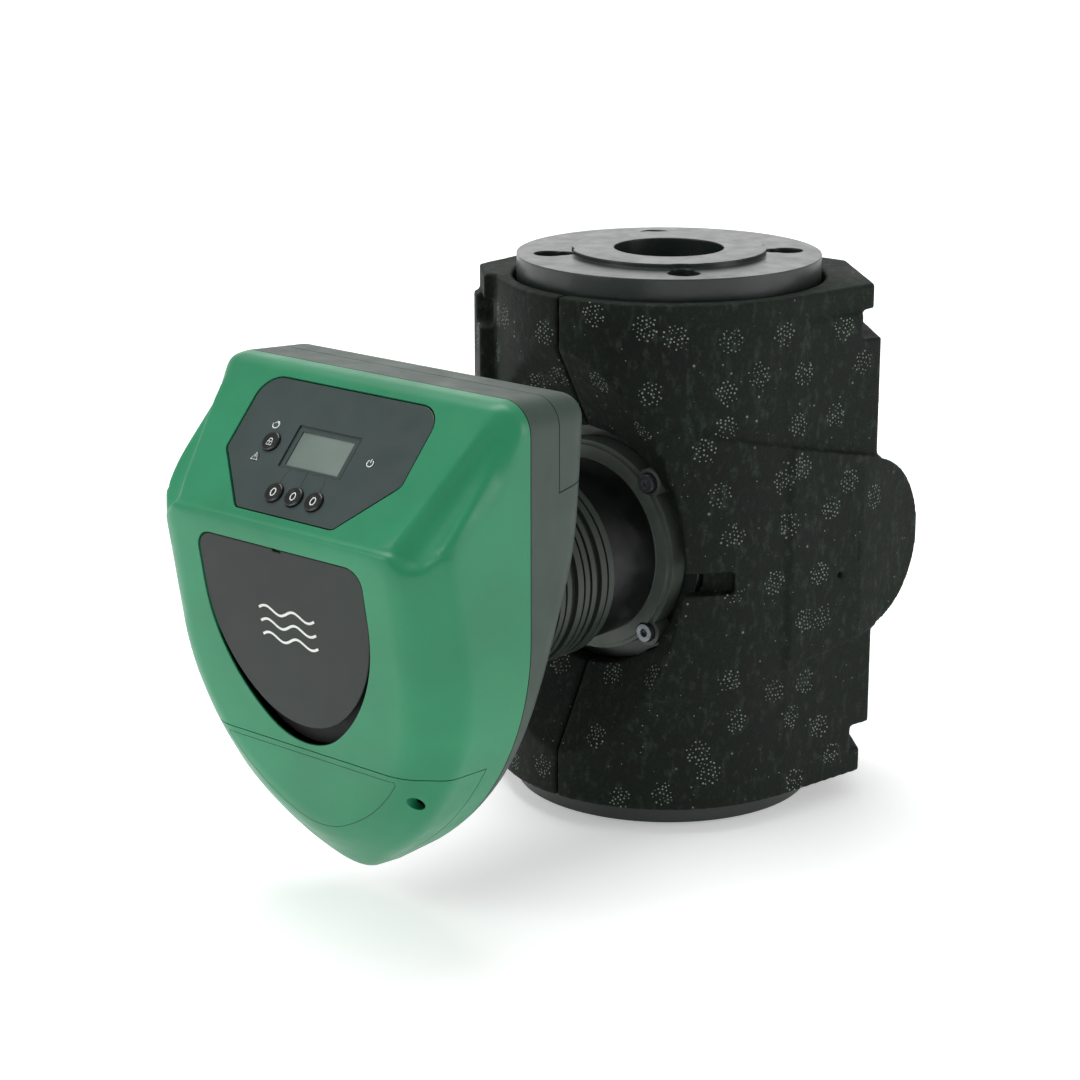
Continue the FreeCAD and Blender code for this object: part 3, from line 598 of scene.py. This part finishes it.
def plate_outline(half, top, corner, bend, radius, degrees, shrink=0.98):
    """A shield: flat top, round corners, straight sides, then arcs into a round tip."""
    angle = math.radians(degrees)
    hub = half - radius
    end = Vector((hub + radius * math.cos(angle), bend - radius * math.sin(angle)))
    tip = (half - radius + radius * math.cos(angle)) / math.cos(angle) * shrink
    run = (end.x - tip * math.cos(angle)) / math.sin(angle)
    tip_centre = end.y - run * math.cos(angle) + tip * math.sin(angle)
    side = []
    for k in range(9):
        a = math.pi / 2 * (1 - k / 8)
        side.append((half - corner + corner * math.cos(a), top - corner + corner * math.sin(a)))
    for k in range(15):
        a = angle * k / 14
        side.append((hub + radius * math.cos(a), bend - radius * math.sin(a)))
    for k in range(1, 13):
        a = angle + (math.pi / 2 - angle) * k / 12
        side.append((tip * math.cos(a), tip_centre - tip * math.sin(a)))
    mirrored = [(-x, y) for x, y in side[-2::-1]]
    return side + mirrored


cover = new_object("green_front", front_mesh, green)
cut(cover, [prism("c", grown_panel(0.9), -12.0, 6.0, slope),
            prism("c", plate_outline(62.4, -11.6, 11.0, -42.6, 98.0, 50), -2.6, 6.0, front),
            prism("c", plate_outline(61.6, -70.0, 3.0, -75.0, 97.2, 50), -12.0, -1.0, front)])


def slab(name, low, high):
    """A closed box between two corners in millimetres."""
    outline = [(low[0], low[1]), (high[0], low[1]), (high[0], high[1]), (low[0], high[1])]
    return prism(name, outline, low[2], high[2], Matrix.Identity(4))


def twin(obj, name):
    """A copy of an object with a mesh of its own."""
    other = obj.copy()
    other.data = obj.data.copy()
    other.name = name
    bpy.context.scene.collection.objects.link(other)
    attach(other, "casing")
    return other


lower_cover = twin(cover, "green_terminal_cover")
COVER_BACK, LINE = -272.0, 0.25  # the terminal cover's rear edge and half its seam's width
SCREW_X, SCREW_Z, SCREW_HOLE = 70.5, 87.5, 4.2
cut(cover, [slab("c", (-150, -360, 0), (150, COVER_BACK + LINE, SEAM_Z + LINE))])
cut(lower_cover, [slab("c", (-150, -360, SEAM_Z - LINE), (150, -240, 320)),
                  slab("c", (-150, COVER_BACK - LINE, 0), (150, -240, 320))])
for side in (-1, 1):
    across = Matrix.Translation((side * SCREW_X * MM, 0, SCREW_Z * MM)) @ Matrix.Rotation(
        math.radians(90), 4, "X")
    ring = [(SCREW_HOLE * math.cos(math.radians(a)), SCREW_HOLE * math.sin(math.radians(a)))
            for a in range(0, 360, 12)]
    cut(lower_cover, [prism("c", ring, 284.0, 340.0, across)])
for obj in (cover, lower_cover):
    sharpen(obj.data, 40)
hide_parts("front_cover")
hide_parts("terminal_cover")


def bead(name, path, direction, tree, radius, paint):
    """A thin closed cord laid along a path of points where it meets a surface."""
    bm = bmesh.new()
    rings, spots = [], []
    for point in path:
        spot, normal, _, _ = tree.ray_cast(point - direction * 0.06, direction)
        if spot is not None:
            spots.append((spot, normal))
    for i, (spot, normal) in enumerate(spots):
        along = (spots[(i + 1) % len(spots)][0] - spots[i - 1][0]).normalized()
        across = along.cross(normal).normalized()
        centre = spot - normal * radius * 0.6
        rings.append([bm.verts.new(centre + (across * math.cos(k * math.pi / 3)
                                             + normal * math.sin(k * math.pi / 3)) * radius)
                      for k in range(6)])
    for one, two in zip(rings, rings[1:] + rings[:1]):
        for k in range(6):
            n = (k + 1) % 6
            bm.faces.new((one[k], one[n], two[n], two[k]))
    bmesh.ops.recalc_face_normals(bm, faces=bm.faces)
    return new_object(name, finished(name, bm, smooth=True), paint)


def face_loop(inset, top, steps=28):
    """The front face's outline below a level, moved inwards, closed by a straight top line."""
    side = []
    for k in range(steps + 1):
        a = FACE_TURN * k / steps
        side.append((FACE_HALF - FACE_R + (FACE_R - inset) * math.cos(a),
                     FACE_BEND - (FACE_R - inset) * math.sin(a)))
    for k in range(1, 13):
        a = FACE_TURN + (math.pi / 2 - FACE_TURN) * k / 12
        side.append(((FACE_TIP - inset) * math.cos(a),
                     FACE_TIP_V - (FACE_TIP - inset) * math.sin(a)))
    side = [p for p in side if p[1] < top]
    reach = side[0][0]
    lid = [(-reach + 2 * reach * k / 24, top) for k in range(25)]
    return lid + side + [(-x, y) for x, y in side[-2::-1]]


# the line around the terminal cover's face is a thin dark bead pressed into it, its dark green the
# painted shade of the seam's groove
face_tree = BVHTree.FromObject(lower_cover, bpy.context.evaluated_depsgraph_get())
loop = [front @ Vector((x * MM, y * MM, 0)) for x, y in face_loop(2.0, -135.5)]
bead("terminal_cover_line", loop, front.to_3x3() @ Vector((0, 0, -1)), face_tree, 0.00035,
     groove_shade_dark)


def head_ring(name, inset, deep, low, high, paint):
    """A band just inside the head's outline that closes the seam from within, in near-black
    painted shade where the gap shows.
    """
    columns = 240
    angles = np.linspace(0, 2 * math.pi, columns, endpoint=False)
    loops = []
    for offset in (inset, deep):
        near, far = np.zeros(columns), np.full(columns, 400.0)
        for _ in range(36):
            middle = (near + far) / 2
            height = HEAD_CENTRE_Z + np.sin(angles) * middle
            inside = head_distance(np.cos(angles) * middle, height) < -offset
            near, far = np.where(inside, middle, near), np.where(inside, far, middle)
        loops.append(near)
    points, faces = [], []
    for reach, y in ((loops[0], low), (loops[0], high), (loops[1], high), (loops[1], low)):
        points += [(r * math.cos(a) * MM, y * MM, (HEAD_CENTRE_Z + r * math.sin(a)) * MM)
                   for r, a in zip(reach, angles)]
    for i in range(4):
        for k in range(columns):
            n, j = (k + 1) % columns, (i + 1) % 4
            faces.append((i * columns + k, i * columns + n, j * columns + n, j * columns + k))
    new_object(name, mesh_from(name, points, faces), paint)


head_ring("seam_shadow", 0.9, 4.0, SEAM_Y - 2.0, SEAM_Y + 2.0, painted_shade_black)

# --- The head's grey rear --------------------------------------------------------------------


def lathe(name, profile, place, steps=96, closed=False):
    """A turned shape: (radius, along) points swept about an axis that the matrix sets."""
    points, faces = [], []
    rings = []
    for radius, along in profile:
        if radius == 0:
            rings.append([len(points)] * steps)
            points.append(place @ Vector((0, 0, along * MM)))
        else:
            rings.append(list(range(len(points), len(points) + steps)))
            for k in range(steps):
                a = 2 * math.pi * k / steps
                points.append(place @ Vector((radius * MM * math.cos(a), radius * MM * math.sin(a),
                                              along * MM)))
    pairs = list(zip(rings, rings[1:])) + ([(rings[-1], rings[0])] if closed else [])
    for one, two in pairs:
        for k in range(steps):
            n = (k + 1) % steps
            face = [one[k], one[n], two[n], two[k]]
            face = [v for i, v in enumerate(face) if v not in face[:i]]
            if len(face) > 2:
                faces.append(face)
    return mesh_from(name, points, faces)


def along_motor(y=0.0, x=0.0, z=0.0):
    """Local z runs towards the head from a point given from the motor axis."""
    return Matrix.Translation((x * MM, y * MM, (MOTOR_Z + z) * MM)) @ Matrix.Rotation(
        math.radians(90), 4, "X")


def join_meshes(name, meshes):
    bm = bmesh.new()
    for mesh in meshes:
        bm.from_mesh(mesh)
    bmesh.ops.recalc_face_normals(bm, faces=bm.faces)
    return finished(name, bm)


points, faces = star_grid(rear_field, head_centre + backward, 38.0, 420, 26, 46, 3.0)
housing = new_object("grey_rear", mesh_from("rear_skin", points, faces), grey)
CAP_Y, CAP_Z = -232.0, 251.8
cap = twin(housing, "grey_cap")


def cap_block(name, grow):
    """The region behind and above the cap's seam, which rises a little towards the rear."""
    place = Matrix(((0, 0, 1, 0), (1, 0, 0, 0), (0, 1, 0, 0), (0, 0, 0, 1)))
    outline = [(CAP_Y - grow, 330), (CAP_Y - grow, CAP_Z - grow), (-190, CAP_Z + 5.5 - grow),
               (-190, 330)]
    return prism(name, outline, -150, 150, place)


cut(housing, [cap_block("c", 0.4)])
cut(cap, [cap_block("c", -0.2)], "INTERSECT")
box_skin = twin(housing, "grey_terminal_box")
cut(box_skin, [slab("c", (-150, -300, SEAM_Z - 0.02), (150, -150, 320))])
cut(housing, [slab("c", (-150, -300, 0), (150, -150, SEAM_Z + 0.02))])
neck = lathe("neck", [(12, 174), (49, 176), (50, 177), (50, 226), (54, 236), (44, 236),
                      (44, 182), (12, 182)], along_motor(), closed=True)
housing.data = join_meshes("rear_housing_mesh", [housing.data, neck])
for obj in (housing, cap, box_skin):
    dress(obj, grey)
    sharpen(obj.data, 40)
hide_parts("rear_housing")
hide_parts("terminal_box")
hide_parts("rear_cap")


# --- Display panel, buttons and marks --------------------------------------------------------

def softened(node, paint, width, segments=2):
    """A copy of a CAD node with its flat faces merged and its edges really rounded."""
    mesh = nodes[node].data.copy()
    bm = bmesh.new()
    bm.from_mesh(mesh)
    bmesh.ops.remove_doubles(bm, verts=bm.verts, dist=2e-6)
    bmesh.ops.dissolve_limit(bm, angle_limit=math.radians(1.0), verts=bm.verts, edges=bm.edges)
    bm.to_mesh(mesh)
    bm.free()
    if mesh.has_custom_normals:
        mesh.attributes.remove(mesh.attributes["custom_normal"])
    obj = new_object(node + "_soft", mesh, paint)
    modifier = obj.modifiers.new("round", "BEVEL")
    modifier.width = width * MM
    modifier.segments = segments
    modifier.limit_method = "ANGLE"
    modifier.angle_limit = math.radians(35)
    modifier.use_clamp_overlap = True
    obj.data.shade_smooth()
    modifier = obj.modifiers.new("even", "WEIGHTED_NORMAL")
    modifier.keep_sharp = True
    modifier.weight = 100
    applied(obj)
    dress(obj, paint)
    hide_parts(node)
    return obj


softened("display_panel", panel_skin, 0.5)
softened("trim_plate", plate_skin, 0.7, segments=3)

spots = {"button_left": (-15.0, -42.1), "button_middle": (0.0, -42.1),
         "button_right": (15.0, -42.1), "button_lock": (-36.5, -13.6)}
BUTTON_R = 5.75


def flat_strip(path, width, closed=False):
    """The faces of a thin strip along a path of (x, y) points: (points, faces)."""
    count = len(path)
    points, faces = [], []
    for i in range(count):
        before = Vector(path[i - 1] if (closed or i > 0) else path[i])
        after = Vector(path[(i + 1) % count] if (closed or i < count - 1) else path[i])
        along = (after - before).normalized()
        side = Vector((-along.y, along.x)) * width / 2
        points += [Vector(path[i]) + side, Vector(path[i]) - side]
    for i in range(count if closed else count - 1):
        j = (i + 1) % count
        faces.append((2 * i, 2 * i + 1, 2 * j + 1, 2 * j))
    return points, faces


def marks(name, strips, place, low, high, paint, body="casing"):
    """Flat printed marks made solid, from strips of (path, width, closed)."""
    bm = bmesh.new()

    def slab_of(points, faces):
        levels = [[bm.verts.new(place @ Vector((p[0] * MM, p[1] * MM, h * MM))) for p in points]
                  for h in (low, high)]
        borders = {}
        for face in faces:
            bm.faces.new([levels[1][i] for i in face])
            bm.faces.new([levels[0][i] for i in reversed(face)])
            for a, b in zip(face, face[1:] + face[:1]):
                borders[(a, b)] = True
        for a, b in borders:
            if (b, a) not in borders:
                bm.faces.new([levels[0][a], levels[0][b], levels[1][b], levels[1][a]])

    for path, width, closed in strips:
        slab_of(*flat_strip(path, width, closed))
    bmesh.ops.recalc_face_normals(bm, faces=bm.faces)
    return new_object(name, finished(name, bm), paint, body)


def arc(cx, cy, radius, start, end, steps=20, squash=1.0):
    return [(cx + radius * squash * math.cos(math.radians(start + (end - start) * k / steps)),
             cy + radius * math.sin(math.radians(start + (end - start) * k / steps)))
            for k in range(steps + 1)]


for name, (x, y) in spots.items():
    place = slope @ Matrix.Translation((x * MM, y * MM, 0))
    cap_mesh = lathe(name + "_cap", [(0, -8.2), (2, -8.2), (2, -5.2), (BUTTON_R + 1.4, -5.2),
                                     (BUTTON_R + 1.4, -4.6), (BUTTON_R, -4.6), (BUTTON_R, 0.5),
                                     (BUTTON_R - 0.15, 0.9), (BUTTON_R - 0.6, 1.12),
                                     (BUTTON_R - 1.4, 1.15), (BUTTON_R - 2.2, 0.95),
                                     (0, 0.8)], place, steps=64)
    piece = new_object(name + "_cap", cap_mesh, button_skin, name)
    sharpen(piece.data, 50)
    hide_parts(name)
    if name == "button_lock":
        strips = [(arc(0, 0.5, 1.15, 0, 180, 12), 0.45, False),
                  ([(-1.15, 0.5), (-1.15, -0.3)], 0.45, False),
                  ([(1.15, 0.5), (1.15, -0.3)], 0.45, False),
                  ([(-1.75, -0.35), (1.75, -0.35), (1.75, -2.4), (-1.75, -2.4)], 0.45, True),
                  ([(0, -0.9), (0, -1.8)], 0.5, False)]
    else:
        strips = [(arc(0, 0, 2.2, 0, 342, 19, 0.72), 0.62, True)]
    marks(name + "_mark", strips, place, 0.7, 1.0, mark_white, name)

# printed symbols beside the keys: a turn arrow, a warning triangle and a power symbol
turn_arrow = [(arc(-40.0, -3.0, 2.2, -200, 80, 24), 0.55, False),
              ([(-41.0, -2.2), (-39.6, -0.9), (-38.6, -2.6)], 0.5, False)]
triangle = [([(-44.6, -25.8), (-39.8, -25.8), (-42.2, -21.6)], 0.55, True),
            ([(-42.2, -23.0), (-42.2, -24.4)], 0.5, False)]
power = [(arc(37.6, -13.3, 2.1, 125, 415, 24), 0.6, False),
         ([(37.6, -10.7), (37.6, -13.0)], 0.6, False)]
marks("panel_symbols", turn_arrow + triangle + power, slope, -0.6, -0.22, mark_white)
lead_lines = [([(-13.0, -26.6), (-15.0, -31.0), (-15.0, -35.6)], 0.35, False),
              ([(0.0, -26.6), (0.0, -35.6)], 0.35, False),
              ([(13.0, -26.6), (15.0, -31.0), (15.0, -35.6)], 0.35, False)]
frame_line = [(rounded_outline([(-23.3, 0.0), (-23.3, -26.4), (23.3, -26.4), (23.3, 0.0)],
                               [0.8] * 4, 3), 0.45, True)]
marks("panel_lines", lead_lines + frame_line, slope, -0.9, -0.34, panel_line)

# a plain water symbol on the dark plate: three waves, in place of any lettering
WAVE_HALF, WAVE_RISE, WAVE_WIDTH = 21.0, 2.0, 1.5
waves = []
for level in (-50.0, -58.0, -66.0):
    path = [(t, level + WAVE_RISE * math.sin(math.pi * 4 * t / (2 * WAVE_HALF)))
            for t in np.linspace(-WAVE_HALF, WAVE_HALF, 61)]
    waves.append((path, WAVE_WIDTH, False))
marks("plate_waves", waves, front, -0.5, -0.32, mark_white)
# a near-black sheet at the back of the deep crescent pocket under the plate: painted shade for the
# dark depth of the gap
pocket_shade_sheet = prism("pocket_shade_back", plate_outline(64.5, -20.0, 11.0, -42.6, 99.0, 50), -9.0, -6.9,
                   front)
new_object("pocket_shade_back", pocket_shade_sheet, painted_shade_black)

# --- Insulation shells -----------------------------------------------------------------------

shells = []
for node in ("insulation_left", "insulation_right"):
    mesh = nodes[node].data.copy()
    bm = bmesh.new()
    bm.from_mesh(mesh)
    bmesh.ops.remove_doubles(bm, verts=bm.verts, dist=2e-6)
    bm.to_mesh(mesh)
    bm.free()
    if mesh.has_custom_normals:
        mesh.attributes.remove(mesh.attributes["custom_normal"])
    shell = new_object(node + "_foam", mesh, foam)
    modifier = shell.modifiers.new("grain", "REMESH")
    modifier.mode = "VOXEL"
    modifier.voxel_size = 0.0013
    modifier.use_smooth_shade = True
    modifier = shell.modifiers.new("soft", "SMOOTH")
    modifier.factor = 0.5
    modifier.iterations = 4
    modifier = shell.modifiers.new("inset", "DISPLACE")
    modifier.mid_level = 0.0
    modifier.strength = -0.00016
    applied(shell)
    dress(shell, foam)
    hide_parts(node)
    shells.append(shell)

# moulding vents: little rosettes of raised dots, scattered over the outside
trees = [BVHTree.FromObject(shell, bpy.context.evaluated_depsgraph_get()) for shell in shells]


def outside_hit(origin, direction):
    """The nearest point that a ray meets on either shell."""
    best = None
    for tree in trees:
        hit = tree.ray_cast(origin, direction)
        if hit[0] is not None and (best is None or hit[3] < best[3]):
            best = hit
    return best


def add_dot(bm, centre, normal, radius, proud):
    """A low dome with eight sides, its foot sunk below the surface."""
    u = normal.orthogonal().normalized()
    v = normal.cross(u)
    base = centre - normal * 0.0003
    spokes = [u * math.cos(k * math.pi / 4) + v * math.sin(k * math.pi / 4) for k in range(8)]
    ring = [bm.verts.new(base + spoke * radius) for spoke in spokes]
    upper = [bm.verts.new(centre + normal * proud * 0.7 + spoke * radius * 0.72)
             for spoke in spokes]
    top = bm.verts.new(centre + normal * proud)
    bm.faces.new(ring[::-1])
    for k in range(8):
        n = (k + 1) % 8
        bm.faces.new((ring[k], ring[n], upper[n], upper[k]))
        bm.faces.new((upper[k], upper[n], top))


bm = bmesh.new()
SPAN, COLUMNS = 0.031, 20        # between rows of rosettes in metres; rosettes in a row
DOT_STEP, ROSETTE_R = 2.6, 6.9   # between dots, and the rosette's radius, in millimetres
FIRST_ROW, BAND = 0.030, 0.30    # height of the first row and of all rows, in metres
for row in range(int(BAND / SPAN) + 1):
    height = FIRST_ROW + row * SPAN
    for column in range(COLUMNS):
        angle = 2 * math.pi * (column + 0.5 * (row % 2)) / COLUMNS + rng.uniform(-0.11, 0.11)
        z = height + rng.uniform(-0.010, 0.010)
        outward = Vector((math.cos(angle), math.sin(angle), 0))
        keep = rng.random()
        spin = rng.uniform(0, math.pi)
        hit = outside_hit(Vector((0, 0, z)) + outward * 0.3, -outward)
        if hit is None or keep < 0.12 or hit[1].dot(outward) < 0.35 or hit[3] > 0.22:
            continue
        centre, normal = hit[0], hit[1]
        across = Vector((0, 0, 1)).cross(normal)
        if across.length < 0.3:
            continue
        across.normalize()
        up = normal.cross(across)
        for i in range(-3, 4):
            for j in range(-3, 4):
                px, py = DOT_STEP * (i + 0.5 * j), DOT_STEP * 0.866 * j
                px, py = (px * math.cos(spin) - py * math.sin(spin),
                          px * math.sin(spin) + py * math.cos(spin))
                wobble = Vector((rng.uniform(-0.55, 0.55), rng.uniform(-0.55, 0.55)))
                lost = rng.random() < 0.12
                size = rng.uniform(0.4, 0.85)
                if math.hypot(px, py) > ROSETTE_R or lost:
                    continue
                shift = across * (px + wobble.x) + up * (py + wobble.y)
                start = centre + shift * MM + normal * 0.01
                dot = outside_hit(start, -normal)
                if dot is None or abs(dot[3] - 0.01) > 0.002 or dot[1].dot(normal) < 0.8:
                    continue
                add_dot(bm, dot[0], dot[1], size * MM, 0.00012)
for _ in range(520):
    angle, z = rng.uniform(0, 2 * math.pi), rng.uniform(0.022, 0.318)
    outward = Vector((math.cos(angle), math.sin(angle), 0))
    size = rng.uniform(0.25, 0.6)
    hit = outside_hit(Vector((0, 0, z)) + outward * 0.3, -outward)
    if hit is not None and hit[1].dot(outward) > 0.35 and hit[3] < 0.22:
        add_dot(bm, hit[0], hit[1], size * MM, 0.0001)
new_object("foam_vents", finished("foam_vents", bm, smooth=True), vent_mark)

# --- Camera, floor and light -----------------------------------------------------------------

camera = bpy.data.cameras.new("camera")
camera.lens = 89.4
camera.sensor_width = 36.0
camera.clip_end = 60.0
eye = bpy.data.objects.new("camera", camera)
eye.location = (0.9936, -1.2732, 0.6164)
eye.rotation_euler = (math.radians(74.043), 0.0, math.radians(40.744))
bpy.context.scene.collection.objects.link(eye)
bpy.context.scene.camera = eye

floor_paint = Paint("floor")
floor_paint.colour(linear("f2f4f3"))
reach = floor_paint.add("VectorMath", operation="LENGTH")
floor_paint.feed(reach.inputs[0], floor_paint.point)
glow = floor_paint.remap(reach.outputs["Value"], 1.0, 4.5, 0.36, 0.75)
floor_paint.set(Roughness=0.9, Specular_IOR_Level=0.1, Emission_Color=(1, 1, 1, 1),
                Emission_Strength=glow)
corners = [(-30, -30, 0), (30, -30, 0), (30, 30, 0), (-30, 30, 0)]
floor = new_object("floor", mesh_from("floor", corners, [(0, 1, 2, 3)], smooth=False),
                   floor_paint, body=None)


def lamp(name, place, target, size, power):
    light = bpy.data.lights.new(name, "AREA")
    light.shape = "RECTANGLE"
    light.size, light.size_y = size
    light.energy = power
    obj = bpy.data.objects.new(name, light)
    obj.location = place
    obj.rotation_euler = (Vector(target) - Vector(place)).to_track_quat("-Z", "Y").to_euler()
    bpy.context.scene.collection.objects.link(obj)


world = bpy.data.worlds.new("studio")
world.use_nodes = True
world.node_tree.nodes["Background"].inputs["Color"].default_value = (1, 1, 1, 1)
world.node_tree.nodes["Background"].inputs["Strength"].default_value = 0.5
bpy.context.scene.world = world
middle = (0.0, -0.12, 0.17)
lamp("key", (-1.1, -2.4, 1.5), middle, (1.2, 1.2), 22)
lamp("top", (-0.5, 0.1, 2.4), middle, (1.6, 1.6), 38)
lamp("side", (2.6, 0.9, 0.9), middle, (1.2, 1.2), 18)
lamp("back", (-2.9, 2.8, 1.5), middle, (4.0, 2.0), 26)
bpy.context.scene.view_settings.view_transform = "Standard"
